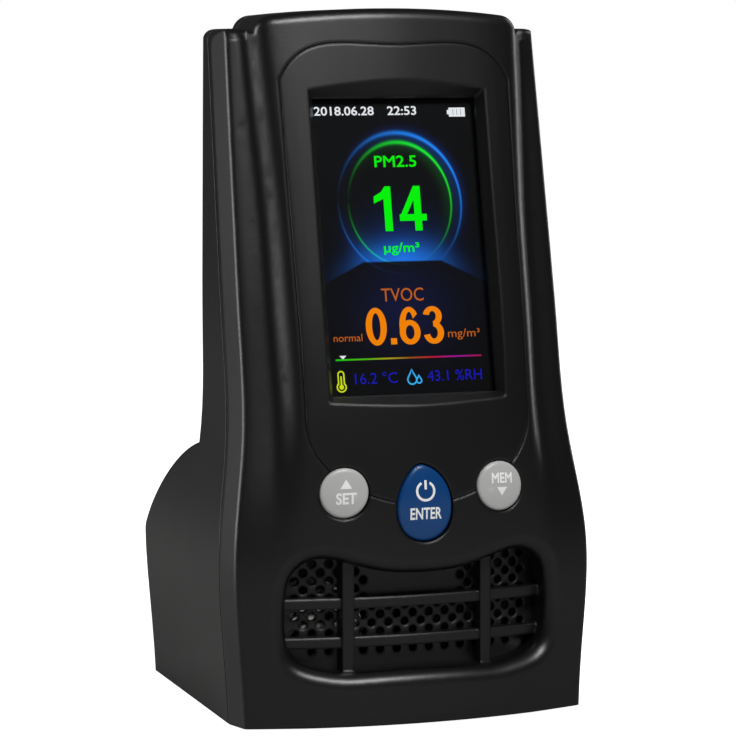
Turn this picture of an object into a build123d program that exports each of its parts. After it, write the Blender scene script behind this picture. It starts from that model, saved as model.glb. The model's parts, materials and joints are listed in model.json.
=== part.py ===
"""Countertop airborne particle counter: a leaning two-shell case with a raised colour
display, three sprung keys, a barred air intake and a laser sensor with its own fan."""
import math
import os

from build123d import *

os.makedirs("parts", exist_ok=True)

# ---------------------------------------------------------------- driving sizes, mm
# +Z up, the front faces -Y, origin under the middle of the case, on the table.
body_d = 76.4               # front of the foot to the back of the boot
body_w = 79.6               # widest, at the shoulder
body_top = 145.7            # crown of the raised centre
flank_top = 141.6           # tops of the two side strips
foot_drop = 0.5             # the rubber feet stand this far below the shells
shoulder_z = 37.1           # the front is upright below and leans back above
flank_lean = 11.5           # degrees
face_lean = 11.83           # degrees, the raised centre with the display
chin_lean = 1.5             # degrees, below the display the raised centre runs out
chin_z = 64.5
low_bow_r = 114.0           # sideways bow of the front
raise_y = 8.9               # display centre line lies this far behind the foot's front
disp_z = 98.1               # height of the middle of the screen
ridge_x = 25.3              # ridge beside the display, from the centre line
valley_w = 3.9              # from the ridge out to the valley
strip_in, strip_d = 1.4, 6.0    # slanted strip between front edge and parting line
side_taper = 0.039          # the sides close in by this much per mm towards the back
upper_d = 38.0              # front of the foot to the upright back
boot_top, boot_corner, boot_bulge = 55.5, 33.0, 2.6
front_edge_r, boot_edge_r, crown_edge_r, crown_corner_r = 1.2, 3.0, 2.5, 4.0
boot_draft = 1.6            # the boot's back leans in this much down to the table
wall = 2.3
seam_back = 7.4             # parting line behind the front edge
seam_gap = 0.35             # shadow line
tongue_l = 2.2              # tongue of the rear cover inside the front cover
fit = 0.12                  # clearance between plastic parts that slip together

front_y = -body_d / 2
rear_y = body_d / 2
back_y = front_y + upper_d
floor_z = foot_drop + wall
disp_y = front_y + raise_y

half_w = body_w / 2
# half widths at the parting line, as shares of the widest, at even levels through the shoulder
level_pitch, shoulder_level = 21.8, 4
width_shares = [0.930, 0.937, 0.957, 0.980, 0.997, 0.926, 0.909, 0.901, 0.891, 0.881, 0.878, 0.876]

screen_w, screen_h = 35.3, 61.2
open_w, open_top, open_low, open_arch = 41.1, 33.2, 33.7, 1.4
recess = 3.8                # the lens lies this far below the raised surface
inlay_t = 1.5
inlay_half_top, inlay_half_low, inlay_side, inlay_crown, inlay_foot = 24.9, 24.0, 34.3, 41.0, 53.2

key_u, key_v, key_r = 16.8, -50.2, 5.05
egg_v, egg_w, egg_h = -53.0, 11.8, 15.4
key_proud, key_gap, key_edge = 1.4, 0.25, 0.7
key_flange, key_flange_t = 1.1, 1.0
key_travel = 0.6
guide_wall = 1.3
guide_depth = 7.6           # guides reach this far below the face plane
board_depth = 14.0
board_t = 1.6

intake_half, intake_low, intake_mid, intake_lobe = 28.0, 11.4, 31.2, 34.6
intake_lobe_x = 22.0
intake_bow_r = 115.0
intake_lip = 3.0            # radius of the soft lip round the opening
bar_deep = 4.6              # front of the cross bars behind the lower front
bar_h, bar_d, bar_proud = 2.2, 2.6, 0.7
bar_tops = (26.2, 18.2)
post_x, post_w = 15.0, 2.4
screen_t, screen_gap = 1.0, 0.4
hole_r, hole_pitch, hole_row = 0.88, 3.54, 1.8

screw_head_r, screw_head_h, screw_r, boss_r = 2.7, 2.0, 1.1, 3.2
screw_bite = 5.5            # the case screws reach this far in front of the parting line
screw_x, screw_levels = 29.0, (66.0, 127.0)
board_screw_r, board_screw_l = 0.8, 4.5


def tan(degrees):
    return math.tan(math.radians(degrees))


face = Plane(origin=(0, disp_y, disp_z), x_dir=(1, 0, 0),
             z_dir=(0, -math.cos(math.radians(face_lean)), math.sin(math.radians(face_lean))))


def flank_y(z):
    """Centre line of the front without its raised centre, at height z."""
    return front_y + max(0.0, z - shoulder_z) * tan(flank_lean)


def face_y(z):
    """Centre line of the raised centre, at height z."""
    if z >= chin_z:
        return disp_y + (z - disp_z) * tan(face_lean)
    return disp_y + (chin_z - disp_z) * tan(face_lean) + (z - chin_z) * tan(chin_lean)


def bow(x, r=low_bow_r):
    """How far the front falls back at x from the centre line."""
    return r - math.sqrt(r * r - x * x)


def seam_y(z):
    """Parting line on the side walls, at height z."""
    return front_y + bow(0.9 * half_w) + seam_back + max(0.0, z - shoulder_z) * tan(flank_lean)


# ---------------------------------------------------------------- outside form
def level_section(z, share, inset):
    """Level section of the case: bowed front with ridges and valleys, slanted strips, sides."""
    half = half_w * share
    edge = half - strip_in - inset
    ridge = ridge_x + 0.045 * min(max(0.0, z - disp_z), 45.0) - inset / 2
    valley = ridge + valley_w
    raised = max(0.0, flank_y(z) - face_y(z)) if z > shoulder_z else 0.0
    profile = [(0, 1.0), (ridge / 2, 1.04), (ridge - 2.5, 1.15), (ridge, 1.02),
               (ridge + valley_w / 2, 0.48), (valley, 0.0), ((valley + edge) / 2, 0.03), (edge, 0.0)]
    right = [(x, flank_y(z) + inset + bow(x) - raised * k) for x, k in profile]
    left = [(-x, y) for x, y in reversed(right[1:])]
    corner = right[-1]
    seam = (half - inset, corner[1] + strip_d)
    far = 60.0
    rear = (seam[0] - side_taper * (far - seam[1]), far)
    with BuildSketch(Plane.XY.offset(z)) as section:
        with BuildLine():
            Spline(*(left + right))
            Polyline(corner, seam, rear, (-rear[0], rear[1]), (-seam[0], seam[1]), left[0])
        make_face()
    return section.sketch


def side_view(inset, behind=0.0):
    """Side view of the case as a slab across it: table, boot, upright back."""
    back = back_y - inset
    corner = (rear_y - inset, boot_corner - inset * 0.4)
    foot = (rear_y - boot_draft - inset, foot_drop + inset)
    top = (back, boot_top - inset * 0.5)
    middle = ((corner[0] + top[0]) / 2 + boot_bulge - inset * 0.3,
              (corner[1] + top[1]) / 2 + boot_bulge - inset * 0.3)
    far, high = -70.0, body_top + 20
    with BuildPart() as slab:
        with BuildSketch(Plane.YZ):
            with BuildLine():
                Polyline((far, high), (far, foot[1]), foot, corner)
                ThreePointArc(corner, middle, top)
                Polyline(top, (back, high), (far, high))
            make_face()
        extrude(amount=body_w, both=True)
    return slab.part


def front_view(inset):
    """Front view of the tops: crown with round corners, notches, side strips."""
    crown, flank = body_top - inset, flank_top - inset
    tower = ridge_x + valley_w - 0.4 - inset * 0.6
    with BuildPart() as slab:
        with BuildSketch(Plane.XZ):
            with BuildLine():
                Polyline((0, -10), (half_w + 9, -10), (half_w + 9, flank), (tower + 1.6, flank),
                         (tower, flank - 1.2), (tower - 0.4, crown - 1.7))
                ThreePointArc((tower - 0.4, crown - 1.7), (tower / 2, crown - 0.42), (0, crown))
                Line((0, crown), (0, -10))
            make_face()
            fillet(vertices().sort_by_distance((tower - 0.4, crown - 1.7))[0], crown_corner_r)
            mirror(about=Plane.YZ)
        extrude(amount=body_d, both=True)
    return slab.part


def case_form(inset, soft=False):
    """Outside form of the whole case, drawn in by inset; soft rounds its edges."""
    with BuildPart() as form:
        loft([level_section(shoulder_z + (n - shoulder_level) * level_pitch, share, inset)
              for n, share in enumerate(width_shares)])
        add(front_view(inset), mode=Mode.INTERSECT)
        add(side_view(inset), mode=Mode.INTERSECT)
        if soft:
            long_edges = form.edges().filter_by(lambda e: e.length > 120)
            fillet(long_edges.filter_by(lambda e: -30 < e.center().Y < -23), front_edge_r)
            fillet(form.edges().filter_by(lambda e: e.center().Y > rear_y - 0.2), boot_edge_r)
            crown_edges = form.edges().filter_by(lambda e: e.center().Z > flank_top + 0.6)
            fillet(crown_edges.filter_by(lambda e: -25 < e.center().Y < -17), crown_edge_r)
    return form.part


def before_seam(shift):
    """Everything in front of the parting line, which is moved back by shift."""
    low, high = seam_y(0) + shift, seam_y(body_top + 10) + shift
    with BuildPart() as region:
        with BuildSketch(Plane.YZ):
            with BuildLine():
                Polyline((-90, -5), (low, -5), (low, shoulder_z), (high, body_top + 10),
                         (-90, body_top + 10), (-90, -5))
            make_face()
        extrude(amount=body_w, both=True)
    return region.part


# ---------------------------------------------------------------- outlines and small blocks
def inlay_outline(grow):
    """Outline of the display surround, drawn behind the case on the face plane."""
    top, low = inlay_half_top + grow, inlay_half_low + grow
    foot, crown = inlay_foot + grow, inlay_crown + grow
    with BuildSketch(face.offset(-board_depth)) as outline:
        with BuildLine():
            Line((top, inlay_side), (low, -inlay_side))
            Spline((low, -inlay_side), (low - 1.3, -inlay_side - 7), (low - 4.1, -inlay_side - 11 - grow),
                   (low - 12.7, 2.3 - foot), (0, -foot), (12.7 - low, 2.3 - foot),
                   (4.1 - low, -inlay_side - 11 - grow), (1.3 - low, -inlay_side - 7), (-low, -inlay_side))
            Line((-low, -inlay_side), (-top, inlay_side))
            Spline((-top, inlay_side), (3.9 - top, crown - 1.8), (0, crown), (top - 3.9, crown - 1.8),
                   (top, inlay_side))
        make_face()
    return outline.sketch


keys = {"left": (-key_u, key_v), "right": (key_u, key_v), "middle": (0.0, egg_v)}


def key_outline(name, depth, grow):
    """Outline of a key at a depth along the face normal; the middle one is an egg."""
    u, v = keys[name]
    a, b = egg_w / 2 + grow, egg_h / 2 + grow
    with BuildSketch(face.offset(depth)) as outline:
        if name == "middle":
            with BuildLine():
                Spline((u, v + b), (u + 0.71 * a, v + 0.6 * b), (u + a, v - 0.13 * b),
                       (u + 0.72 * a, v - 0.77 * b), (u, v - b), (u - 0.72 * a, v - 0.77 * b),
                       (u - a, v - 0.13 * b), (u - 0.71 * a, v + 0.6 * b), periodic=True)
            make_face()
        else:
            with Locations((u, v)):
                Circle(key_r + grow)
    return outline.sketch


def intake_outline(grow):
    """Outline of the air intake: two lobes with a hollow between them."""
    half, low, top = intake_half + grow, intake_low - grow, intake_lobe + grow
    with BuildSketch(Plane.XZ) as outline:
        with BuildLine():
            Spline((0, intake_mid + grow), (-9, intake_mid + 0.7 + grow), (-16.5, top - 0.7),
                   (-intake_lobe_x, top), (1.4 - half, top - 2.8), (-half, top - 8.1), (-half, low + 8.1),
                   (2 - half, low + 2.6), (7.5 - half, low + 0.4), (0, low), tangents=((-1, 0), (1, 0)))
            mirror(about=Plane.YZ)
        make_face()
    return outline.sketch


def bowed_sheet(y0, y1):
    """Sheet bent along the lower front, between two depths on the centre line."""
    low, high, half = foot_drop + 1.5, shoulder_z + 3, half_w - 5
    drop = bow(half, intake_bow_r)
    with BuildPart() as sheet:
        with BuildSketch(Plane.XY.offset(low)):
            with BuildLine():
                ThreePointArc((-half, y0 + drop), (0, y0), (half, y0 + drop))
                Line((half, y0 + drop), (half, y1 + drop))
                ThreePointArc((half, y1 + drop), (0, y1), (-half, y1 + drop))
                Line((-half, y1 + drop), (-half, y0 + drop))
            make_face()
        extrude(amount=high - low)
    return sheet.part


def block(x0, x1, y0, y1, z0, z1, mode=Mode.ADD):
    """Block between two corners."""
    with Locations(((x0 + x1) / 2, (y0 + y1) / 2, (z0 + z1) / 2)):
        Box(x1 - x0, y1 - y0, z1 - z0, mode=mode)


def post(x, z, y0, y1, r, mode=Mode.ADD):
    """Round post lying front to back."""
    with Locations(Location((x, (y0 + y1) / 2, z), (90, 0, 0))):
        Cylinder(r, y1 - y0, mode=mode)


def slab(u, v, w0, w1, du, dv, mode=Mode.ADD):
    """Block on the face plane between two depths."""
    with Locations(face.offset((w0 + w1) / 2)):
        with Locations((u, v)):
            Box(du, dv, w1 - w0, mode=mode)


def pin(u, v, w0, w1, r, mode=Mode.ADD):
    """Round pin standing on the face plane between two depths."""
    with Locations(face.offset((w0 + w1) / 2)):
        with Locations((u, v)):
            Cylinder(r, w1 - w0, mode=mode)


def write(piece, name):
    """Label one piece and save it under its own name."""
    piece.part.label = name
    export_step(piece.part, "parts/" + name + ".step")


# ---------------------------------------------------------------- shared forms
outer = case_form(0, soft=True)
inner = case_form(wall)
tongue = case_form(wall / 2)
under_inlay = case_form(inlay_t)
lip_form = case_form(wall / 2 + fit)

bar_y = front_y + bar_deep
screen_y = bar_y + bar_d + screen_gap
case_screws = [(x, z) for z in screw_levels for x in (-screw_x, screw_x)]
board_posts = [(-18.0, 39.4), (18.0, 39.4), (-22.3, -57.6), (22.3, -57.6)]

with BuildPart() as intake_collar:
    extrude(intake_outline(1.6), amount=body_d, both=True)
    add(bowed_sheet(front_y + 1.5, screen_y + screen_t + 1.4), mode=Mode.INTERSECT)
with BuildPart() as intake_opening:
    extrude(intake_outline(0), amount=body_d, both=True)
    add(bowed_sheet(front_y - 4, screen_y), mode=Mode.INTERSECT)
with BuildPart() as screen_seat:
    extrude(intake_outline(0.7), amount=body_d, both=True)
    add(bowed_sheet(screen_y, screen_y + 6), mode=Mode.INTERSECT)
with BuildPart() as cross_bars:
    for top in bar_tops:
        block(-half_w, half_w, front_y - 4, front_y + 20, top - bar_h, top)
    add(bowed_sheet(bar_y, bar_y + bar_d), mode=Mode.INTERSECT)
    extrude(intake_outline(0.8), amount=body_d, both=True, mode=Mode.INTERSECT)
with BuildPart() as uprights:
    for x in (-post_x, post_x):
        block(x - post_w / 2, x + post_w / 2, front_y - 4, front_y + 20, intake_low - 2, intake_lobe + 2)
    add(bowed_sheet(bar_y - bar_proud, screen_y - 0.05), mode=Mode.INTERSECT)
    extrude(intake_outline(0.8), amount=body_d, both=True, mode=Mode.INTERSECT)

# key guides, board posts and screw bosses on the inside of the front
with BuildPart() as inside_front:
    for name in keys:
        extrude(key_outline(name, -guide_depth, key_gap + guide_wall), amount=guide_depth + 6)
    for u, v in board_posts:
        pin(u, v, -board_depth, 2, 2.1)
    for x, z in case_screws:
        post(x, z, front_y - 5, seam_y(z) - 0.2, boss_r)
    add(tongue, mode=Mode.INTERSECT)
with BuildPart() as seam_groove:
    add(tongue)
    add(before_seam(0), mode=Mode.INTERSECT)
    add(before_seam(-tongue_l - 0.4), mode=Mode.SUBTRACT)
with BuildPart() as inlay_pocket:
    extrude(inlay_outline(fit), amount=board_depth + 12)
    add(under_inlay, mode=Mode.SUBTRACT)

# ---------------------------------------------------------------- front cover
lens_w, lens_h = screen_w + 8.3, screen_h + 8.2
with BuildPart() as front_cover:
    add(outer)
    add(before_seam(-seam_gap / 2), mode=Mode.INTERSECT)
    add(inner, mode=Mode.SUBTRACT)
    add(seam_groove.part, mode=Mode.SUBTRACT)
    add(intake_collar.part)
    add(intake_opening.part, mode=Mode.SUBTRACT)
    rim = front_cover.edges(Select.LAST).filter_by(lambda e: e.center().Y < bar_y - 0.5)
    fillet(rim, intake_lip)
    add(screen_seat.part, mode=Mode.SUBTRACT)
    add(cross_bars.part)
    add(uprights.part)
    add(inside_front.part)
    add(inlay_pocket.part, mode=Mode.SUBTRACT)
    slab(0, 0, -board_depth, 8, lens_w + 0.6, lens_h + 0.6, mode=Mode.SUBTRACT)
    for name in keys:
        extrude(key_outline(name, -12, key_gap), amount=18, mode=Mode.SUBTRACT)
    for u, v in board_posts:
        pin(u, v, -board_depth, 6 - board_depth, board_screw_r, mode=Mode.SUBTRACT)
    for x, z in case_screws:
        post(x, z, seam_y(z) - screw_bite - 0.5, seam_y(z) + 5, screw_r, mode=Mode.SUBTRACT)
write(front_cover, "front_cover")

# ---------------------------------------------------------------- display surround
with BuildPart() as tub:
    slab(0, 0, -recess, 8, lens_w, lens_h)
    add(outer, mode=Mode.INTERSECT)
half, arch_top = open_w / 2, open_top + open_arch
with BuildPart() as display_surround:
    add(outer)
    add(under_inlay, mode=Mode.SUBTRACT)
    extrude(inlay_outline(0), amount=board_depth + 12, mode=Mode.INTERSECT)
    add(tub.part)
    with BuildSketch(face.offset(-recess)):
        Rectangle(screen_w, screen_h)
    with BuildSketch(face.offset(1.0)):
        with BuildLine():
            Line((-half, -open_low), (-half, open_top))
            ThreePointArc((-half, open_top), (0, arch_top), (half, open_top))
            Line((half, open_top), (half, -open_low))
            ThreePointArc((half, -open_low), (0, -open_low - 0.7), (-half, -open_low))
        make_face()
    loft(mode=Mode.SUBTRACT)
    slab(0, 0, -recess - 2, 0.02 - recess, screen_w, screen_h, mode=Mode.SUBTRACT)
    for name in keys:
        extrude(key_outline(name, -12, key_gap), amount=18, mode=Mode.SUBTRACT)
write(display_surround, "display_surround")

# ---------------------------------------------------------------- display stack
lens_t, foam_t, glass_t, light_t, frame_w = 1.1, 0.5, 1.4, 2.0, 2.0
foam_back = -recess - lens_t - foam_t
glass_back = foam_back - glass_t
light_back = glass_back - light_t
with BuildPart() as display_lens:
    slab(0, 0, -recess - lens_t, -recess, lens_w, lens_h)
write(display_lens, "display_lens")
with BuildPart() as display_gasket:
    slab(0, 0, foam_back, foam_back + foam_t, screen_w + 5.7, screen_h + 5.8)
    slab(0, 0, foam_back, foam_back + foam_t, screen_w + 2.3, screen_h + 1.4, mode=Mode.SUBTRACT)
write(display_gasket, "display_gasket")
with BuildPart() as lcd_glass:
    slab(0, 0, glass_back, foam_back, screen_w + 6.1, screen_h + 6.8)
write(lcd_glass, "lcd_glass")
with BuildPart() as backlight:
    slab(0, 0, light_back, glass_back, lens_w - 1, lens_h + 0.6)
write(backlight, "backlight")
with BuildPart() as display_carrier:
    slab(0, 0, -board_depth, light_back, lens_w - 1, lens_h + 0.6)
    slab(0, 0, -board_depth, light_back, lens_w - 1 - 2 * frame_w, lens_h + 0.6 - 2 * frame_w,
         mode=Mode.SUBTRACT)
write(display_carrier, "display_carrier")

# ---------------------------------------------------------------- main board
board_back = -board_depth - board_t
with BuildPart() as main_board:
    slab(0, -8.5, board_back, -board_depth, 50.0, 103.0)
    for u, v in board_posts:
        pin(u, v, board_back, -board_depth, board_screw_r + 0.35, mode=Mode.SUBTRACT)
write(main_board, "main_board")
for n, (u, v) in enumerate(board_posts, 1):
    with BuildPart() as board_screw:
        pin(u, v, board_back - 1.3, board_back, 1.9)
        pin(u, v, board_back, board_screw_l - board_depth, board_screw_r - 0.02)
    write(board_screw, "board_screw_%d" % n)
with BuildPart() as processor:
    slab(4, 6, board_back - 1.2, board_back, 10, 10)
write(processor, "processor")
with BuildPart() as buzzer:
    pin(-12, -24, board_back - 5.2, board_back, 5.0)
    pin(-12, -24, board_back - 5.2, board_back - 4.6, 0.9, mode=Mode.SUBTRACT)
write(buzzer, "buzzer")

# ---------------------------------------------------------------- keys and switches
flange_top = -guide_depth - 0.1
stem_end = flange_top - key_flange_t - 0.8
switch_top = stem_end - key_travel - 0.1
crown_r = {"left": 24.0, "right": 24.0, "middle": 34.0}
for name, (u, v) in keys.items():
    at = face.from_local_coords((u, v, 0))
    top_y = face_y(at.Z - 0.9) + bow(u) - key_proud
    slope = math.asin(u / low_bow_r)
    middle_y = top_y + crown_r[name] * math.cos(slope)
    with BuildPart() as key:
        extrude(key_outline(name, flange_top - key_flange_t, 0), amount=16)
        with Locations((u - crown_r[name] * math.sin(slope) * 0.6, middle_y, at.Z - 1.0)):
            Sphere(crown_r[name], rotation=(90, 0, 0), mode=Mode.INTERSECT)
        fillet(key.edges().filter_by(lambda e: e.length > 20).sort_by(Axis.Y)[0], key_edge)
        extrude(key_outline(name, flange_top - key_flange_t, key_flange), amount=key_flange_t)
        pin(u, v, stem_end, flange_top, 1.5)
    write(key, name + "_key")
    with BuildPart() as switch:
        slab(u, v, -board_depth, 2.9 - board_depth, 6.0, 6.0)
        pin(u, v, -board_depth, switch_top, 1.7)
    write(switch, name + "_switch")

# ---------------------------------------------------------------- intake screen
spots = []
for row in range(12):
    z = intake_lobe - 1.6 - row * hole_row
    for col in range(-8, 9):
        x = (col + 0.5 * (row % 2)) * hole_pitch
        lobe = abs(x) > 10.5 or z < 25.5
        inside = abs(x) < intake_half - 2.6 and z < intake_lobe - 1 - max(0, intake_lobe_x - abs(x)) * 0.12
        corner = z > 16.5 or abs(x) + (16.5 - z) * 1.2 < intake_half - 2.5
        if lobe and inside and corner and z > intake_low + 1.8:
            spots.append((x, z))
with BuildPart() as intake_screen:
    extrude(intake_outline(0.5), amount=body_d, both=True)
    add(bowed_sheet(screen_y, screen_y + screen_t), mode=Mode.INTERSECT)
    with BuildSketch(Plane.XZ.offset(20)):
        with Locations(*spots):
            RegularPolygon(hole_r * 1.02, 12)
    extrude(amount=20, mode=Mode.SUBTRACT)
write(intake_screen, "intake_screen")

# ---------------------------------------------------------------- rear cover
with BuildPart() as tongue_lip:
    add(lip_form)
    add(inner, mode=Mode.SUBTRACT)
    add(before_seam(seam_gap), mode=Mode.INTERSECT)
    add(before_seam(-tongue_l), mode=Mode.SUBTRACT)
with BuildPart() as pillars:
    for x, z in case_screws:
        post(x, z, seam_y(z) + 0.1, back_y - 1, boss_r)
socket_x, socket_z = 18.0, 28.9
with BuildPart() as rear_cover:
    add(outer)
    add(before_seam(seam_gap / 2), mode=Mode.SUBTRACT)
    add(inner, mode=Mode.SUBTRACT)
    add(tongue_lip.part)
    add(pillars.part)
    for x, z in case_screws:
        post(x, z, seam_y(z) - 5, rear_y, screw_r + 0.4, mode=Mode.SUBTRACT)
        post(x, z, back_y - screw_head_h, rear_y, screw_head_r + 0.2, mode=Mode.SUBTRACT)
    for row in range(7):
        block(-17, 17, back_y - 5, rear_y, 83 + 5 * row, 85.2 + 5 * row, mode=Mode.SUBTRACT)
    block(socket_x - 4.7, socket_x + 4.7, rear_y - 8, rear_y + 5, socket_z - 2.1, socket_z + 2.1,
          mode=Mode.SUBTRACT)
write(rear_cover, "rear_cover")
for n, (x, z) in enumerate(case_screws, 1):
    seat_y = back_y - screw_head_h
    with BuildPart() as case_screw:
        post(x, z, seat_y, seat_y + 1.8, screw_head_r)
        post(x, z, seam_y(z) - screw_bite, seat_y, screw_r - 0.02)
    write(case_screw, "case_screw_%d" % n)

# ---------------------------------------------------------------- sensors
box_x0, box_x1, box_y0, box_y1, box_z1 = -5.0, 32.6, front_y + 15.7, front_y + 33.2, 34.8
fan_x, fan_z, fan_r = 20.0, 19.0, 11.0
motor_y = box_y1 - 10
with BuildPart() as sensor_case:
    block(box_x0, box_x1, box_y0, box_y1, floor_z, box_z1)
    post(fan_x, fan_z, motor_y, box_y1, fan_r + 0.8, mode=Mode.SUBTRACT)
    block(-2, 6, box_y0 + 3, box_y1, 8, 30, mode=Mode.SUBTRACT)
    block(5, 12, box_y1 - 8, box_y1, 16, 22, mode=Mode.SUBTRACT)
    block(-1, 5, box_y0, box_y0 + 4, 12, 26, mode=Mode.SUBTRACT)
write(sensor_case, "sensor_case")
with BuildPart() as sensor_lid:
    block(box_x0, box_x1, box_y1, box_y1 + 1.2, floor_z, box_z1)
    for k in range(5):
        block(fan_x - 8, fan_x + 8, box_y1, box_y1 + 1.2, fan_z - 8.9 + 4 * k, fan_z - 7.1 + 4 * k,
              mode=Mode.SUBTRACT)
write(sensor_lid, "sensor_lid")
shaft_r, shaft_play = 0.75, 0.05
with BuildPart() as fan_motor:
    post(fan_x, fan_z, motor_y, motor_y + 2.0, 5.0)
    post(fan_x, fan_z, motor_y, motor_y + 8.6, shaft_r)
write(fan_motor, "fan_motor")
with BuildPart() as fan_rotor:
    post(fan_x, fan_z, motor_y + 2.6, motor_y + 8.4, 4.2)
    with Locations(Location((fan_x, motor_y + 5.5, fan_z), (90, 0, 0))):
        with PolarLocations(7.1, 7):
            Box(6.9, 0.7, 5.2, rotation=(32, 0, 0))
    post(fan_x, fan_z, motor_y, motor_y + 12, shaft_r + shaft_play, mode=Mode.SUBTRACT)
write(fan_rotor, "fan_rotor")
gas_x, gas_z, gas_y = -18.0, 18.5, box_y0 + 7.0
with BuildPart() as gas_sensor:
    post(gas_x, gas_z, gas_y - 10, gas_y - 1, 8.8)
    post(gas_x, gas_z, gas_y - 1, gas_y, 9.6)
write(gas_sensor, "gas_sensor")
with BuildPart() as gas_board:
    block(-30, -7, gas_y, gas_y + board_t, floor_z, 33)
write(gas_board, "gas_board")

# ---------------------------------------------------------------- battery and charging
tray_y0, tray_y1 = box_y1 + 1.6, rear_y - wall - boot_draft - 0.7
cell_r = (tray_y1 - tray_y0 - 0.2) / 4
cell_y = [tray_y0 + cell_r, tray_y1 - cell_r]
cell_z, cell_l = floor_z + cell_r + 1.9, 65.0
with BuildPart() as battery_tray:
    block(-30, 30, tray_y0, tray_y1, floor_z, floor_z + cell_r)
    for y in cell_y:
        with Locations(Location((0, y, cell_z), (0, 90, 0))):
            Cylinder(cell_r + 0.05, cell_l, mode=Mode.SUBTRACT)
write(battery_tray, "battery_tray")
for n, y in enumerate(cell_y, 1):
    with BuildPart() as battery_cell:
        with Locations(Location((0, y, cell_z), (0, 90, 0))):
            Cylinder(cell_r, cell_l)
    write(battery_cell, "battery_cell_%d" % n)
port_y1 = rear_y - 1.3
with BuildPart() as power_board:
    block(socket_x - 12, socket_x + 12, port_y1 - 24.9, port_y1 - 2.4, socket_z - 3.3, socket_z - 1.7)
write(power_board, "power_board")
with BuildPart() as charge_socket:
    block(socket_x - 3.9, socket_x + 3.9, port_y1 - 7.4, port_y1, socket_z - 1.7, socket_z + 1.7)
    block(socket_x - 3.4, socket_x + 3.4, port_y1 - 5.9, port_y1, socket_z - 1.2, socket_z + 1.2,
          mode=Mode.SUBTRACT)
write(charge_socket, "charge_socket")

# ---------------------------------------------------------------- feet
foot_spots = [(-29, front_y + 16.2), (29, front_y + 16.2), (-30, rear_y - 10.2), (30, rear_y - 10.2)]
for n, (x, y) in enumerate(foot_spots, 1):
    with BuildPart() as foot:
        with Locations((x, y, foot_drop / 2)):
            Cylinder(4.5, foot_drop)
    write(foot, "foot_%d" % n)
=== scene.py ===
import json
import math
import random

import bmesh
import bpy
from mathutils import Matrix, Vector


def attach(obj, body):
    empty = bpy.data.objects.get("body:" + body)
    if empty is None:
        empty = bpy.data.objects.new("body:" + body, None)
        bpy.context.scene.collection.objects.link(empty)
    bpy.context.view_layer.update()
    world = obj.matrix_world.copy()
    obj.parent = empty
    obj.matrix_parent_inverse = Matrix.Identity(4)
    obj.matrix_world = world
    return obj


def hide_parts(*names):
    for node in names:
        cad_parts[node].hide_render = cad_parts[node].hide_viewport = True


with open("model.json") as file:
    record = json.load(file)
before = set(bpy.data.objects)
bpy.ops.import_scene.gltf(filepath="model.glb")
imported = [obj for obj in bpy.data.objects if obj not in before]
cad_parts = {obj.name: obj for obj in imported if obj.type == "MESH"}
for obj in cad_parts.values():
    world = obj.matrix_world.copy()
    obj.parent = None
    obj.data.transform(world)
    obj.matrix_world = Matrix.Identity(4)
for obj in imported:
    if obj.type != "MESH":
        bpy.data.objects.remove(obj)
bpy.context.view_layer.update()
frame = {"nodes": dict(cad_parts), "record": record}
nodes = frame["nodes"]
random.seed(7)
mm = 0.001


# sRGB hex code to linear colour.
def hexToLinear(code):
    out = []
    for k in (1, 3, 5):
        c = int(code[k:k + 2], 16) / 255
        out.append(c / 12.92 if c <= 0.04045 else ((c + 0.055) / 1.055) ** 2.4)
    return (*out, 1.0)


# Adds one shader node, sets its sockets or properties, and wires its inputs.
def addNode(tree, kind, settings=None, links=None):
    node = tree.nodes.new(kind)
    for key, value in (settings or {}).items():
        if key in node.inputs:
            node.inputs[key].default_value = value
        else:
            setattr(node, key, value)
    for key, source in (links or {}).items():
        tree.links.new(source, node.inputs[key])
    return node


# Empty material with its tree and output.
def newMaterial(name):
    mat = bpy.data.materials.new(name)
    mat.use_nodes = True
    tree = mat.node_tree
    tree.nodes.clear()
    return mat, tree, tree.nodes.new("ShaderNodeOutputMaterial")


# Moulded plastics
plasticLook = {
    "sparkScale": 2600.0,     # about 0.4 mm a grain, coarser than real so that it shows
    "sparkDepth": 0.000035,
    "smudgeScale": 28.0,
    "smudgeSpread": 0.07,
    "edgeSoft": 0.0009,
}


# Injection-moulded ABS: even colour, with the fine grain that a spark-eroded steel mould
# leaves on it and faint smudges from handling
def mouldedPlastic(name, colour, roughness, spark=1.0):
    mat, tree, out = newMaterial(name)
    coord = addNode(tree, "ShaderNodeTexCoord").outputs["Object"]
    smudge = addNode(tree, "ShaderNodeTexNoise", {"Scale": plasticLook["smudgeScale"], "Detail": 4.0},
                     {"Vector": coord}).outputs["Fac"]
    rough = addNode(tree, "ShaderNodeMapRange", {
        "To Min": roughness - plasticLook["smudgeSpread"] / 2,
        "To Max": roughness + plasticLook["smudgeSpread"] / 2}, {"Value": smudge}).outputs["Result"]
    grain = addNode(tree, "ShaderNodeTexNoise", {"Scale": plasticLook["sparkScale"], "Detail": 2.0},
                    {"Vector": coord}).outputs["Fac"]
    soft = addNode(tree, "ShaderNodeBevel", {"samples": 6, "Radius": plasticLook["edgeSoft"]}).outputs[0]
    bump = addNode(tree, "ShaderNodeBump", {
        "Strength": 0.35 * spark, "Distance": plasticLook["sparkDepth"]},
        {"Height": grain, "Normal": soft}).outputs["Normal"]
    bsdf = addNode(tree, "ShaderNodeBsdfPrincipled", {
        "Base Color": hexToLinear(colour), "IOR": 1.54},
        {"Roughness": rough, "Normal": bump})
    tree.links.new(bsdf.outputs[0], out.inputs["Surface"])
    return mat


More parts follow.
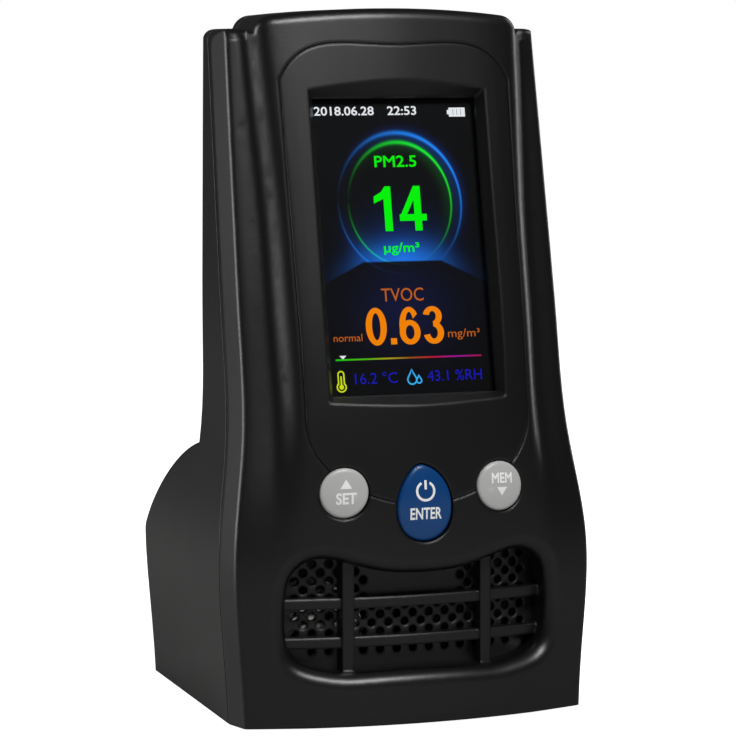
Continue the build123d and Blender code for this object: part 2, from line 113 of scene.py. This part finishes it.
# Bright plated sheet steel with fine drawing marks.
def plainMetal(name, colour, roughness):
    mat, tree, out = newMaterial(name)
    coord = addNode(tree, "ShaderNodeTexCoord").outputs["Object"]
    marks = addNode(tree, "ShaderNodeTexNoise", {"Scale": 900.0, "Detail": 3.0},
                    {"Vector": coord}).outputs["Fac"]
    rough = addNode(tree, "ShaderNodeMapRange", {
        "To Min": roughness - 0.06, "To Max": roughness + 0.08}, {"Value": marks}).outputs["Result"]
    bsdf = addNode(tree, "ShaderNodeBsdfPrincipled", {"Base Color": hexToLinear(colour), "Metallic": 1.0},
                   {"Roughness": rough})
    tree.links.new(bsdf.outputs[0], out.inputs["Surface"])
    return mat


# Cast acrylic with an anti-reflective hard coat: almost no tint, sharp but faint reflections.
# The effective index stands for the coat, since bare acrylic is 1.49.
def clearPane(name):
    mat, tree, out = newMaterial(name)
    fresnel = addNode(tree, "ShaderNodeFresnel", {"IOR": 1.22}).outputs[0]
    clear = addNode(tree, "ShaderNodeBsdfTransparent", {"Color": (0.93, 0.94, 0.95, 1)}).outputs[0]
    shine = addNode(tree, "ShaderNodeBsdfGlossy", {"Color": (1, 1, 1, 1), "Roughness": 0.03}).outputs[0]
    mix = addNode(tree, "ShaderNodeMixShader", {}, {0: fresnel, 1: clear, 2: shine})
    tree.links.new(mix.outputs[0], out.inputs["Surface"])
    return mat


# Lit display pixels of one even colour.
def litColour(name, colour, strength):
    mat, tree, out = newMaterial(name)
    glow = addNode(tree, "ShaderNodeEmission", {"Color": hexToLinear(colour), "Strength": strength})
    tree.links.new(glow.outputs[0], out.inputs["Surface"])
    return mat


caseBlack = mouldedPlastic("Case plastic", "#0b0b0c", 0.34)
rearBlack = mouldedPlastic("Rear plastic", "#121212", 0.36)
surroundBlack = mouldedPlastic("Surround plastic", "#0b0b0c", 0.33, spark=0.6)
screenBlack = mouldedPlastic("Screen plastic", "#141415", 0.38)
keyGrey = mouldedPlastic("Grey key plastic", "#bcbcba", 0.30, spark=0.25)
keyBlue = mouldedPlastic("Blue key plastic", "#00407c", 0.28, spark=0.2)
whitePlastic = mouldedPlastic("White plastic", "#e3e2dc", 0.45)
blackNylon = mouldedPlastic("Black nylon", "#161617", 0.5)
rotorNylon = mouldedPlastic("Rotor nylon", "#2b2b2d", 0.42)
rubberBlack = mouldedPlastic("Silicone rubber", "#101010", 0.75, spark=1.5)
foamBlack = mouldedPlastic("Closed-cell foam", "#0c0c0c", 0.9, spark=2.0)
boardGreen = mouldedPlastic("Solder mask", "#0f4a26", 0.28, spark=0.2)
cellBlue = mouldedPlastic("Shrink sleeve", "#1f4f93", 0.25, spark=0.1)
brightSteel = plainMetal("Tinned steel", "#d6d5d0", 0.22)
screwSteel = plainMetal("Zinc-plated steel", "#a9aaae", 0.3)
lensPane = clearPane("Acrylic window")
displayBlack = mouldedPlastic("Display glass", "#040506", 0.12, spark=0.0)

looks = {
    "case_plastic": caseBlack, "rear_plastic": rearBlack, "surround_plastic": surroundBlack,
    "screen_plastic": screenBlack, "lens": lensPane, "lcd": displayBlack, "foam": foamBlack,
    "white_plastic": whitePlastic, "board": boardGreen, "rubber": rubberBlack, "grey_key": keyGrey,
    "blue_key": keyBlue, "switch_plastic": blackNylon, "steel": screwSteel, "sensor_metal": brightSteel,
    "black_plastic": blackNylon, "rotor_plastic": rotorNylon, "cell_wrap": cellBlue,
}
slotOf = {row["node"]: row["material_slot"] for row in frame["record"]["subparts"]}
for name, obj in nodes.items():
    obj.data.materials.clear()
    obj.data.materials.append(looks[slotOf[name]])
print("materials done")

# The face plane of the display
faceLean = math.radians(11.83)
faceAxes = (Vector((1, 0, 0)), Vector((0, math.sin(faceLean), math.cos(faceLean))),
            Vector((0, -math.cos(faceLean), math.sin(faceLean))))
faceCentre = Vector((0, -29.3, 98.1)) * mm


# Placement on the leaning face, in millimetres from the middle of the screen.
def faceMatrix(u, v, w):
    m = Matrix([faceAxes[0], faceAxes[1], faceAxes[2]]).transposed().to_4x4()
    m.translation = faceCentre + (faceAxes[0] * u + faceAxes[1] * v + faceAxes[2] * w) * mm
    return m


# Gives a new piece its place, finish and body.
def placed(obj, matrix, mat, body="housing"):
    obj.matrix_world = matrix
    obj.data.materials.clear()
    obj.data.materials.append(mat)
    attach(obj, body)
    return obj


# New mesh object from points in millimetres.
def meshPiece(name, verts, faces):
    mesh = bpy.data.meshes.new(name)
    mesh.from_pydata([tuple(c * mm for c in v) for v in verts], [], faces)
    mesh.update()
    obj = bpy.data.objects.new(name, mesh)
    bpy.context.scene.collection.objects.link(obj)
    return obj


# Flat lettering in the built-in plain face, cap height in millimetres.
def textPiece(name, words, height, width, bold=0.0):
    curve = bpy.data.curves.new(name, "FONT")
    curve.body = words
    curve.align_x = "CENTER"
    curve.align_y = "CENTER"
    curve.size = height * mm / 0.69
    curve.bevel_depth = bold * mm
    curve.bevel_resolution = 0
    curve.resolution_u = 3
    obj = bpy.data.objects.new(name, curve)
    bpy.context.scene.collection.objects.link(obj)
    bpy.context.view_layer.update()
    mesh = bpy.data.meshes.new_from_object(obj.evaluated_get(bpy.context.evaluated_depsgraph_get()))
    bpy.data.objects.remove(obj)
    bm = bmesh.new()
    bm.from_mesh(mesh)
    bm.normal_update()
    bmesh.ops.delete(bm, geom=[f for f in bm.faces if f.normal.z < 0], context="FACES")
    bm.to_mesh(mesh)
    bm.free()
    made = bpy.data.objects.new(name, mesh)
    bpy.context.scene.collection.objects.link(made)
    xs = [v.co.x for v in mesh.vertices]
    stretch = width * mm / (max(xs) - min(xs))
    mesh.transform(Matrix.Diagonal((stretch, 1, 0.1, 1)))
    return made


# Soft corners on the two shells
cornerLook = {"side": 35.1, "top": 141.6, "cut": 3.0, "notch": 29.9, "frontCut": 2.2, "bow": 114.0,
              "frontY": -38.2, "shoulder": 37.1, "lean": 11.5}


# Closed bar: a profile set at each station, which maps profile points into space.
def prism(name, profile, stations):
    verts, faces = [], []
    n = len(profile)
    for place in stations:
        verts += [place(*p) for p in profile]
    for k in range(len(stations) - 1):
        faces += [(k * n + i, k * n + (i + 1) % n, (k + 1) * n + (i + 1) % n, (k + 1) * n + i)
                  for i in range(n)]
    faces += [tuple(range(n)), tuple(range(len(verts) - 1, len(verts) - 1 - n, -1))]
    piece = meshPiece(name, verts, faces)
    bm = bmesh.new()
    bm.from_mesh(piece.data)
    bmesh.ops.recalc_face_normals(bm, faces=bm.faces)
    bm.to_mesh(piece.data)
    bm.free()
    return piece


# Waste outside a rounded corner at the origin, between tangent points a and b.
def roundingProfile(a, b, far):
    curve = [((1 - t) ** 2 * a[0] + t * t * b[0], (1 - t) ** 2 * a[1] + t * t * b[1])
             for t in (k / 8 for k in range(9))]
    return curve + far


# How far the bowed front falls back at x
def bowAt(x):
    return cornerLook["bow"] - math.sqrt(cornerLook["bow"] ** 2 - x * x)


cutters = []
for side in (-1, 1):
    cut = cornerLook["cut"]
    profile = roundingProfile((0, -cut), (-cut, 0), [(-cut, 8), (9, 8), (9, -cut)])
    cutters.append(prism("corner_waste", profile, [
        lambda p, q, y=y: (side * (cornerLook["side"] + p), y, cornerLook["top"] + q) for y in (-50, 12)]))
    cut, slope = cornerLook["frontCut"], math.tan(math.radians(cornerLook["lean"]))
    profile = roundingProfile((-cut * slope, -cut), (cut, 0), [(cut, 8), (-9, 8), (-9, -cut)])
    lift = cornerLook["frontY"] + (cornerLook["top"] - cornerLook["shoulder"]) * slope
    cutters.append(prism("front_waste", profile, [
        lambda p, q, x=x: (side * x, lift + bowAt(x) + p, cornerLook["top"] + q)
        for x in (cornerLook["notch"], 32.0, 34.0, 39.0)]))
for name in ("front_cover", "rear_cover"):
    shell = nodes[name].copy()
    shell.data = nodes[name].data.copy()
    shell.name = name + "_soft"
    shell.parent = None
    shell.matrix_world = nodes[name].matrix_world.copy()
    bpy.context.scene.collection.objects.link(shell)
    shade = shell.data.attributes.new("shade", "FLOAT_VECTOR", "CORNER")
    shade.data.foreach_set("vector", [c for n in shell.data.corner_normals for c in n.vector])
    for cutter in cutters:
        carve = shell.modifiers.new("carve", "BOOLEAN")
        carve.operation, carve.solver, carve.object = "DIFFERENCE", "EXACT", cutter
    bpy.context.view_layer.update()
    carved = bpy.data.meshes.new_from_object(shell.evaluated_get(bpy.context.evaluated_depsgraph_get()))
    shell.modifiers.clear()
    shell.data = carved
    carved.shade_smooth()
    carved.set_sharp_from_angle(angle=math.radians(30))
    # the cuts shade by themselves, and every other face keeps the shell's own shading
    own = [n.vector.copy() for n in carved.corner_normals]
    kept = [Vector(row.vector) for row in carved.attributes["shade"].data]
    carved.normals_split_custom_set([k.normalized() if k.length > 0.5 else n
                                     for k, n in zip(kept, own)])
    carved.attributes.remove(carved.attributes["shade"])
    shell.data.materials.clear()
    shell.data.materials.append(looks[slotOf[name]])
    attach(shell, "housing")
    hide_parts(name)
for cutter in cutters:
    bpy.data.objects.remove(cutter)
print("corners done")

# Display picture
displayLook = {
    "halfSize": (18.4, 31.2), "depth": -5.37, "layer": 0.02,
    "ringCentre": (0.4, 9.0), "blueRing": (13.8, 15.1),
    "greenRing": (11.6, 13.1), "horizon": -3.2, "podium": 8.5,
}


# Math node from numbers and sockets.
def mathNode(tree, op, *values, clamp=False):
    node = tree.nodes.new("ShaderNodeMath")
    node.operation = op
    node.use_clamp = clamp
    for socket, value in zip(node.inputs, values):
        if isinstance(value, (int, float)):
            socket.default_value = value
        else:
            tree.links.new(value, socket)
    return node.outputs[0]


# Smooth bump of height one around a value.
def bell(tree, value, centre, spread):
    d = mathNode(tree, "DIVIDE", mathNode(tree, "SUBTRACT", value, centre), spread)
    squared = mathNode(tree, "MULTIPLY", d, d)
    return mathNode(tree, "POWER", 2.718, mathNode(tree, "MULTIPLY", squared, -1.0))


# Adds colours, each scaled by its factor.
def colourSum(tree, parts):
    total = None
    for factor, code in parts:
        scaled = addNode(tree, "ShaderNodeVectorMath", {"operation": "SCALE"}, {"Scale": factor})
        scaled.inputs[0].default_value = hexToLinear(code)[:3]
        if total is None:
            total = scaled.outputs[0]
            continue
        both = addNode(tree, "ShaderNodeVectorMath", {"operation": "ADD"}, {0: total, 1: scaled.outputs[0]})
        total = both.outputs[0]
    return total


# Lit picture field: blue and green rings over a blue dawn behind a dark podium.
def displayBackdrop():
    mat, tree, out = newMaterial("Display picture")
    pos = addNode(tree, "ShaderNodeSeparateXYZ", {}, {
        "Vector": addNode(tree, "ShaderNodeTexCoord").outputs["Object"]})

    def m(op, *values, clamp=False):
        return mathNode(tree, op, *values, clamp=clamp)

    x, y = m("MULTIPLY", pos.outputs[0], 1000.0), m("MULTIPLY", pos.outputs[1], 1000.0)
    dx = m("SUBTRACT", x, displayLook["ringCentre"][0])
    dy = m("SUBTRACT", y, displayLook["ringCentre"][1])
    angle = m("ARCTAN2", dy, dx)
    top = bell(tree, angle, 1.62, 0.85)
    sweep = m("MULTIPLY", m("ADD", m("COSINE", m("SUBTRACT", angle, 0.85)), 1.0), 0.5)
    sweep = m("POWER", sweep, 3.0)
    tail = m("MULTIPLY", bell(tree, angle, -2.25, 0.55), 0.35)
    parts = []
    horizonAt = m("SUBTRACT", displayLook["horizon"], m("MULTIPLY", m("MAXIMUM", m(
        "SUBTRACT", m("ABSOLUTE", x), displayLook["podium"]), 0.0), 0.5))
    above = m("MULTIPLY", m("SUBTRACT", y, horizonAt), 3.0, clamp=True)
    for (rx, ry), code, haze, soft in ((displayLook["blueRing"], "#1e8eff", "#0a3a9a", 0.22),
                                       (displayLook["greenRing"], "#14ff0c", "#0c5a14", 0.19)):
        qx, qy = m("DIVIDE", dx, rx), m("DIVIDE", dy, ry)
        r = m("MULTIPLY", m("SQRT", m("ADD", m("MULTIPLY", qx, qx), m("MULTIPLY", qy, qy))), ry)
        width = m("ADD", soft, m("MULTIPLY", top, 0.2))
        line = bell(tree, r, ry - 0.4, width)
        light = m("ADD", m("MULTIPLY", sweep, 0.95), tail)
        seen = m("ADD", m("MULTIPLY", above, 0.92), 0.08)
        parts.append((m("MULTIPLY", m("MULTIPLY", line, light), seen), code))
        glow = m("MULTIPLY", bell(tree, r, ry - 0.8, 1.5), m("MULTIPLY", light, 0.35))
        parts.append((m("MULTIPLY", glow, seen), haze))
    height = m("SUBTRACT", y, horizonAt)
    dawn = m("MULTIPLY", m("MULTIPLY", bell(tree, height, 0.0, 3.6), bell(tree, x, 0.0, 8.0)), above)
    wide = m("MULTIPLY", m("MULTIPLY", bell(tree, height, 0.0, 7.5), bell(tree, x, 0.0, 8.8)), above)
    parts.append((dawn, "#1a72dc"))
    parts.append((m("MULTIPLY", wide, 0.5), "#0c3a8c"))
    low = m("MULTIPLY", bell(tree, y, -13.0, 8.0), bell(tree, x, 0.0, 9.5))
    parts.append((m("MULTIPLY", low, m("SUBTRACT", 1.0, above)), "#070d33"))
    glow = addNode(tree, "ShaderNodeEmission", {"Strength": 1.0},
                   {"Color": colourSum(tree, parts)}).outputs[0]
    glass = addNode(tree, "ShaderNodeBsdfPrincipled", {
        "Base Color": hexToLinear("#020203"), "Roughness": 0.5, "Specular IOR Level": 0.1}).outputs[0]
    both = addNode(tree, "ShaderNodeAddShader", {}, {0: glow, 1: glass})
    tree.links.new(both.outputs[0], out.inputs["Surface"])
    return mat


# Lit scale line from green through yellow and red to magenta.
def colourBar():
    mat, tree, out = newMaterial("Display scale")
    pos = addNode(tree, "ShaderNodeSeparateXYZ", {}, {
        "Vector": addNode(tree, "ShaderNodeTexCoord").outputs["Object"]})
    along = mathNode(tree, "MULTIPLY", mathNode(tree, "ADD", pos.outputs[0], 0.016), 31.25)
    ramp = tree.nodes.new("ShaderNodeValToRGB")
    tree.links.new(along, ramp.inputs[0])
    stops = [(0.0, "#18d818"), (0.22, "#58c018"), (0.36, "#b8a818"), (0.5, "#a05818"), (0.66, "#d01838"),
             (0.82, "#a018a0"), (1.0, "#b01848")]
    for place, code in stops[1:-1]:
        ramp.color_ramp.elements.new(place)
    for stop, (place, code) in zip(ramp.color_ramp.elements, stops):
        stop.position = place
        stop.color = hexToLinear(code)
    glow = addNode(tree, "ShaderNodeEmission", {"Strength": 0.9}, {"Color": ramp.outputs[0]})
    tree.links.new(glow.outputs[0], out.inputs["Surface"])
    return mat


# Points along an elliptical arc, angles in degrees.
def arcPoints(cx, cy, rx, ry, start, end, count=24):
    return [(cx + rx * math.cos(math.radians(start + (end - start) * k / count)),
             cy + ry * math.sin(math.radians(start + (end - start) * k / count))) for k in range(count + 1)]


# Flat strip between two rows of points.
def band(outer, inner):
    verts = [(*p, 0) for p in outer + inner]
    n = len(outer)
    return verts, [(k, k + 1, n + k + 1, n + k) for k in range(n - 1)]


# Flat line of even width along points.
def stroke(points, width):
    left, right = [], []
    for k, (x, y) in enumerate(points):
        before, after = points[max(k - 1, 0)], points[min(k + 1, len(points) - 1)]
        dx, dy = after[0] - before[0], after[1] - before[1]
        size = math.hypot(dx, dy) or 1
        left.append((x - dy / size * width / 2, y + dx / size * width / 2))
        right.append((x + dy / size * width / 2, y - dx / size * width / 2))
    return band(left, right)


# Flat face through points.
def polygon(*points):
    return [(*p, 0) for p in points], [tuple(range(len(points)))]


# Heavy sans digit in a cell one unit tall; returns its shapes and width.
def digitShapes(figure):
    if figure == "1":
        return [polygon((0.29, 0), (0.47, 0), (0.47, 1), (0.33, 1), (0.25, 0.88), (0.06, 0.775), (0.06, 0.62),
                        (0.29, 0.72))], 0.56
    if figure == "4":
        return [polygon((0.35, 0), (0.52, 0), (0.52, 1), (0.35, 1)),
                polygon((0, 0.22), (0.64, 0.22), (0.64, 0.37), (0, 0.37)),
                polygon((0, 0.3), (0.17, 0.36), (0.37, 0.72), (0.36, 1))], 0.64
    if figure == "0":
        return [band(arcPoints(0.29, 0.5, 0.29, 0.52, 0, 360, 48),
                     arcPoints(0.29, 0.5, 0.115, 0.37, 0, 360, 48))], 0.58
    if figure == "6":
        return [band(arcPoints(0.29, 0.32, 0.29, 0.34, 0, 360, 48),
                     arcPoints(0.29, 0.32, 0.12, 0.195, 0, 360, 48)),
                band(arcPoints(0.29, 0.5, 0.285, 0.52, 38, 192, 32),
                     arcPoints(0.29, 0.5, 0.115, 0.38, 30, 192, 32))], 0.58
    if figure == "3":
        return [band(arcPoints(0.27, 0.745, 0.265, 0.275, 168, -88, 36),
                     arcPoints(0.27, 0.745, 0.095, 0.14, 168, -88, 36)),
                band(arcPoints(0.28, 0.29, 0.285, 0.31, 88, -168, 36),
                     arcPoints(0.28, 0.29, 0.11, 0.165, 88, -168, 36))], 0.57
    return [polygon((0, 0), (0.17, 0), (0.17, 0.17), (0, 0.17))], 0.17


# One flat object from several flat shapes, in millimetres about a point.
def flatShapes(name, shapes):
    verts, faces = [], []
    for points, sides in shapes:
        start = len(verts)
        verts += [(p[0], p[1], 0) for p in points]
        faces += [tuple(start + k for k in side) for side in sides]
    return meshPiece(name, verts, faces)


# Large reading, centred on its own origin, millimetres.
def numberPiece(name, figures, height, width):
    shapes, at = [], 0.0
    for figure in figures:
        made, advance = digitShapes(figure)
        shapes += [([(p[0] + at, p[1], 0) for p in points], sides) for points, sides in made]
        at += advance + 0.09
    total = at - 0.09
    piece = flatShapes(name, shapes)
    piece.data.transform(Matrix.Translation((-total / 2 * mm, -0.5 * mm, 0)))
    piece.data.transform(Matrix.Diagonal((width / total, height, 1, 1)))
    return piece


depth = displayLook["depth"]
inks = {k: litColour("Display " + k, code, 1.0) for k, code in (
    ("green", "#08ff0c"), ("orange", "#ff8a06"), ("dim orange", "#c8641a"), ("blue", "#1a1cb4"),
    ("cyan", "#38b4f4"), ("yellow", "#d8e818"), ("white", "#f4f6f8"))}
halfW, halfH = displayLook["halfSize"]
backdrop = meshPiece("display_picture", [(-halfW, -halfH, 0), (halfW, -halfH, 0), (halfW, halfH, 0),
                                         (-halfW, halfH, 0)], [(0, 1, 2, 3)])
placed(backdrop, faceMatrix(0, 0, depth), displayBackdrop())
front = depth + displayLook["layer"]
# name, words, place from the middle of the screen, cap height, width, boldness, ink
for name, words, u, v, height, width, bold, ink in (
        ("date", "2018.06.28", -10.4, 28.2, 1.75, 13.0, 0.04, "white"),
        ("clock", "22:53", 2.3, 28.2, 1.75, 6.4, 0.04, "white"),
        ("dust_label", "PM2.5", 0.0, 17.6, 2.3, 9.2, 0.05, "green"),
        ("dust_unit", "µg/m³", 0.0, -0.3, 1.9, 7.8, 0.05, "green"),
        ("vapour_label", "TVOC", -0.5, -10.1, 2.7, 9.2, 0.0, "dim orange"),
        ("vapour_state", "normal", -13.0, -18.6, 1.5, 6.2, 0.0, "dim orange"),
        ("vapour_unit", "mg/m³", 12.3, -18.3, 1.7, 7.0, 0.0, "dim orange"),
        ("temperature", "16.2 °C", -7.8, -27.1, 2.2, 9.2, 0.0, "blue"),
        ("humidity", "43.1 %RH", 9.7, -27.0, 2.2, 12.0, 0.0, "blue")):
    placed(textPiece("display_" + name, words, height, width, bold=bold), faceMatrix(u, v, front),
           inks[ink])
placed(numberPiece("display_dust_value", "14", 9.3, 11.9), faceMatrix(0.1, 7.9, front), inks["green"])
placed(numberPiece("display_vapour_value", "0.63", 7.5, 17.0), faceMatrix(-0.5, -16.4, front),
       inks["orange"])
placed(flatShapes("display_scale", [polygon((-16, -0.17), (15.8, -0.17), (15.8, 0.17), (-16, 0.17))]),
       faceMatrix(0, -23.0, front), colourBar())
placed(flatShapes("display_marker", [polygon((-0.75, 0.75), (0, 0), (0.75, 0.75))]),
       faceMatrix(-14.4, -22.9, front), inks["white"])
cellSide = [polygon((-1.7, -0.95), (1.9, -0.95), (1.9, 0.95), (-1.7, 0.95)),
            polygon((-2.1, -0.45), (-1.7, -0.45), (-1.7, 0.45), (-2.1, 0.45))]
placed(flatShapes("display_battery", cellSide), faceMatrix(14.3, 27.9, front), inks["white"])
ticks = [polygon((x - 0.07, -0.65), (x + 0.07, -0.65), (x + 0.07, 0.65), (x - 0.07, 0.65))
         for x in (-0.75, 0.1, 0.95)]
placed(flatShapes("display_battery_gaps", ticks), faceMatrix(14.3, 27.9, front + 0.01),
       litColour("Display grey", "#9aa2a8", 1.0))
tube = [stroke(arcPoints(0, 1.25, 0.62, 0.62, 0, 180, 12), 0.3),
        stroke([(-0.62, 1.25), (-0.62, -0.9)], 0.3), stroke([(0.62, 1.25), (0.62, -0.9)], 0.3),
        stroke(arcPoints(0, -1.35, 0.95, 0.95, 130, 410, 24), 0.3),
        band(arcPoints(0, -1.35, 0.5, 0.5, 0, 360, 16), arcPoints(0, -1.35, 0.01, 0.01, 0, 360, 16)),
        stroke([(0, -1.3), (0, 0.9)], 0.34)]
placed(flatShapes("display_thermometer", tube), faceMatrix(-15.1, -27.2, front), inks["yellow"])


# Outline of a water drop.
def dropShape(x, y, size):
    bulb = arcPoints(x, y, 0.62 * size, 0.62 * size, 150, 390, 24)
    return stroke(bulb + [(x + 0.25 * size, y + 0.8 * size), (x, y + 1.35 * size),
                            (x - 0.25 * size, y + 0.8 * size), bulb[0]], 0.32)


placed(flatShapes("display_drops", [dropShape(-0.35, -0.5, 1.55), dropShape(1.15, -0.75, 0.85)]),
       faceMatrix(0.6, -27.0, front), inks["cyan"])
print("display done")

# Printed symbols on the keys
printLook = {"lift": 0.035}
markWhite = mouldedPlastic("White pad print", "#fbfbfa", 0.45, spark=0.0)
keyWhere = {"left_key": (-16.8, -50.2), "right_key": (16.8, -50.2), "middle_key": (0.0, -53.0)}


# Drops a flat print onto a key's crown and lets it move with the key.
def printOn(piece, key, u, v):
    mesh = piece.data
    bm = bmesh.new()
    bm.from_mesh(mesh)
    bmesh.ops.triangulate(bm, faces=bm.faces)
    for _ in range(2):
        bmesh.ops.subdivide_edges(bm, edges=[e for e in bm.edges if e.calc_length() > 0.5 * mm], cuts=1,
                                  use_grid_fill=False)
    bmesh.ops.triangulate(bm, faces=bm.faces)
    toKey = nodes[key].matrix_world.inverted()
    turn = toKey.to_3x3()
    for vert in bm.verts:
        start = faceMatrix(u, v, 6) @ vert.co
        hit, spot, _, _ = nodes[key].ray_cast(toKey @ start, (turn @ -faceAxes[2]).normalized())
        if hit:
            spot = nodes[key].matrix_world @ spot
            drop = (start - spot).dot(faceAxes[2])
            vert.co.z += vert.co.z - drop + printLook["lift"] * mm
    bm.to_mesh(mesh)
    bm.free()
    mesh.transform(faceMatrix(u, v, 6))
    placed(piece, Matrix(), markWhite, key)


left, right, middle = keyWhere["left_key"], keyWhere["right_key"], keyWhere["middle_key"]
printOn(flatShapes("print_up", [polygon((-1.25, 0), (1.25, 0), (0, 1.9))]), "left_key", left[0] + 0.1,
        left[1] + 0.75)
printOn(textPiece("print_set", "SET", 2.1, 4.3, bold=0.1), "left_key", left[0] + 0.1, left[1] - 1.3)
printOn(textPiece("print_mem", "MEM", 2.0, 4.6, bold=0.08), "right_key", right[0] + 0.3, right[1] + 1.4)
printOn(flatShapes("print_down", [polygon((-1.15, 0), (0, -1.75), (1.15, 0))]), "right_key",
        right[0] + 0.3, right[1] - 0.35)
printOn(textPiece("print_enter", "ENTER", 2.2, 6.8, bold=0.08), "middle_key", middle[0], middle[1] - 2.3)
power = [stroke(arcPoints(0, 0, 1.85, 1.85, 118, 422, 40), 0.5), stroke([(0, 0.35), (0, 2.2)], 0.5)]
printOn(flatShapes("print_power", power), "middle_key", middle[0], middle[1] + 2.3)
print("key prints done")

# Painted shade of the case screws' cross recesses: flat near-black crosses laid on the heads
screwLook = {"armLength": 2.6, "armWidth": 0.55, "lift": 0.02}
# near-black material, painted shade that stands for the depth of each cross recess
recessShadeBlack = mouldedPlastic("Recess shadow", "#050505", 0.6, spark=0.0)
for name in [n for n in nodes if n.startswith("case_screw")]:
    corners = [nodes[name].matrix_world @ Vector(c) for c in nodes[name].bound_box]
    centre = sum(corners, Vector()) / 8
    centre.y = max(c.y for c in corners) + screwLook["lift"] * mm
    a, b = screwLook["armLength"] / 2, screwLook["armWidth"] / 2
    cross = flatShapes("recess_shade_" + name, [polygon((-a, -b), (a, -b), (a, b), (-a, b)),
                                          polygon((-b, b), (b, b), (b, a), (-b, a)),
                                          polygon((-b, -a), (b, -a), (b, -b), (-b, -b))])
    turn = Matrix.Rotation(math.radians(random.uniform(0, 90)), 4, "Z")
    cross.data.transform(Matrix.Translation(centre) @ Matrix.Rotation(math.radians(90), 4, "X") @ turn)
    cross.data.flip_normals()
    placed(cross, Matrix(), recessShadeBlack)
print("screw recesses done")

# Floor, light and camera
floorMat, tree, out = newMaterial("Pale studio floor")
paint = addNode(tree, "ShaderNodeBsdfPrincipled", {
    "Base Color": hexToLinear("#9c9c9a"), "Roughness": 0.7}).outputs[0]
sheet = addNode(tree, "ShaderNodeBsdfPrincipled", {
    "Base Color": hexToLinear("#ffffff"), "Roughness": 0.8, "Emission Color": (1, 1, 1, 1),
    "Emission Strength": 1.0}).outputs[0]
seen = addNode(tree, "ShaderNodeLightPath").outputs["Is Camera Ray"]
both = addNode(tree, "ShaderNodeMixShader", {}, {0: seen, 1: paint, 2: sheet})
tree.links.new(both.outputs[0], out.inputs["Surface"])
bpy.ops.mesh.primitive_plane_add(size=8, location=(0, 0, 0))
floor = bpy.context.object
floor.name = "studio_floor"
floor.data.materials.append(floorMat)

world = bpy.context.scene.world or bpy.data.worlds.new("Studio")
bpy.context.scene.world = world
world.use_nodes = True
tree = world.node_tree
tree.nodes.clear()
out = tree.nodes.new("ShaderNodeOutputWorld")
seen = addNode(tree, "ShaderNodeLightPath").outputs["Is Camera Ray"]
white = addNode(tree, "ShaderNodeBackground", {"Color": (1, 1, 1, 1), "Strength": 1.0}).outputs[0]
room = addNode(tree, "ShaderNodeBackground", {"Color": (0.94, 0.97, 1.0, 1), "Strength": 0.055}).outputs[0]
both = addNode(tree, "ShaderNodeMixShader", {}, {0: seen, 1: room, 2: white})
tree.links.new(both.outputs[0], out.inputs["Surface"])


# Soft rectangular studio lamp aimed at a point.
def areaLight(name, place, aim, size, power):
    data = bpy.data.lights.new(name, "AREA")
    data.shape = "RECTANGLE"
    data.size, data.size_y = size
    data.energy = power
    lamp = bpy.data.objects.new(name, data)
    bpy.context.scene.collection.objects.link(lamp)
    lamp.location = place
    lamp.rotation_euler = (Vector(aim) - Vector(place)).to_track_quat("-Z", "Y").to_euler()


areaLight("Left soft box", (-0.85, 0.3, 0.22), (0, 0, 0.06), (0.25, 0.7), 5.2)
areaLight("Top soft box", (0.05, -0.7, 0.8), (0, 0, 0.08), (0.5, 0.25), 8.5)
areaLight("Right edge light", (0.7, 0.3, 0.3), (0, 0, 0.08), (0.15, 0.7), 1)

cameraLook = {
    "lens": 161.3, "shiftX": 0.0168, "shiftY": 0.0081, "turn": 19.55, "rise": 5.54, "roll": -0.14,
    "distance": 659.9, "target": (-15.37, -39.1, 72.62),
}
camera = bpy.data.cameras.new("Camera")
camera.sensor_width = 36
camera.lens = cameraLook["lens"]
camera.shift_x = cameraLook["shiftX"]
camera.shift_y = cameraLook["shiftY"]
camera.clip_start = 0.01
cameraObj = bpy.data.objects.new("Camera", camera)
bpy.context.scene.collection.objects.link(cameraObj)
az, el, roll = (math.radians(cameraLook[k]) for k in ("turn", "rise", "roll"))
backward = Vector((-math.sin(az) * math.cos(el), -math.cos(az) * math.cos(el), math.sin(el)))
target = Vector(cameraLook["target"]) * mm
cameraObj.location = target + backward * cameraLook["distance"] * mm
cameraObj.rotation_euler = backward.to_track_quat("Z", "Y").to_euler()
cameraObj.rotation_euler.rotate_axis("Z", roll)
bpy.context.scene.camera = cameraObj
bpy.context.scene.view_settings.view_transform = "Standard"
